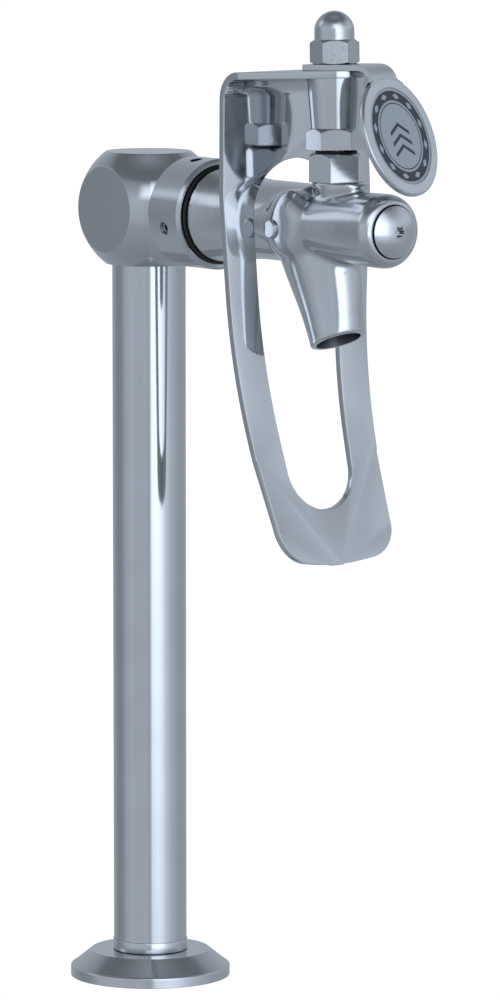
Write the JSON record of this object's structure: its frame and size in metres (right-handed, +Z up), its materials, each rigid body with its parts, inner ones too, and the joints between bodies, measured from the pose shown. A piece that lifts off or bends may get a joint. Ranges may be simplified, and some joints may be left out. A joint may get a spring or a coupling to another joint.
{
  "type": "beer tower",
  "caption": "Countertop beer tower: round base flange and slim column, ball elbow, spring-closed tap with a leaning spout, and a slotted push-back paddle lever carrying a round badge.",
  "frame": {"origin": "centre of the base flange's underside", "axes": "+Z up along the column; -Y forwards, the way the tap points; +X to the right seen from the front"},
  "size_m": [0.079, 0.2065, 0.4286],
  "materials": {
    "polished_steel": "polished",
    "cast_steel": "cast and polished",
    "plate_steel": "polished sheet",
    "line_steel": "drawn",
    "screw_steel": "machined",
    "spring_steel": "drawn wire",
    "brass": "machined",
    "black_rubber": "matt",
    "seat_plastic": "matt",
    "badge_face": "printed, gloss"
  },
  "bodies": {
    "tower": {"base_flange": "polished_steel", "foot_seal": "black_rubber", "foot_collar": "polished_steel", "column_tube": "polished_steel", "elbow_body": "cast_steel", "elbow_seal": "black_rubber", "beer_line": "line_steel", "coupling_nut": "polished_steel", "lock_screw": "screw_steel", "tap_shank": "brass", "shank_seal": "black_rubber", "barrel_gasket": "black_rubber", "tap_body": "cast_steel", "side_plug": "polished_steel", "nose_cap": "polished_steel", "return_spring": "spring_steel", "ball_seat": "seat_plastic", "bonnet_nut": "polished_steel", "stem_wiper": "black_rubber"},
    "lever": {"lever_spindle": "line_steel", "lever_sleeve": "polished_steel", "lever_stud": "screw_steel", "lever_plate": "plate_steel", "badge_bracket": "plate_steel", "badge_insert": "badge_face", "acorn_nut": "polished_steel"},
    "valve": {"plunger": "brass", "plunger_ring": "black_rubber", "valve_seal": "black_rubber"}
  },
  "joints": [
    {"name": "lever_hinge", "type": "hinge", "parent": "tower", "child": "lever", "pos_m": [0, -0.1296, 0.3616], "axis": [1, 0, 0], "range_deg": [0, 3.5], "stiffness_Nm_per_rad": 3, "springref_deg": -14.32},
    {"name": "valve_slide", "type": "slide", "parent": "tower", "child": "valve", "axis": [0, 1, 0], "range_m": [0, 0.00105], "deforming": ["return_spring"]}
  ],
  "couplings": [
    {"joint": "valve_slide", "follows": "lever_hinge", "m_per_rad": 0.017}
  ]
}
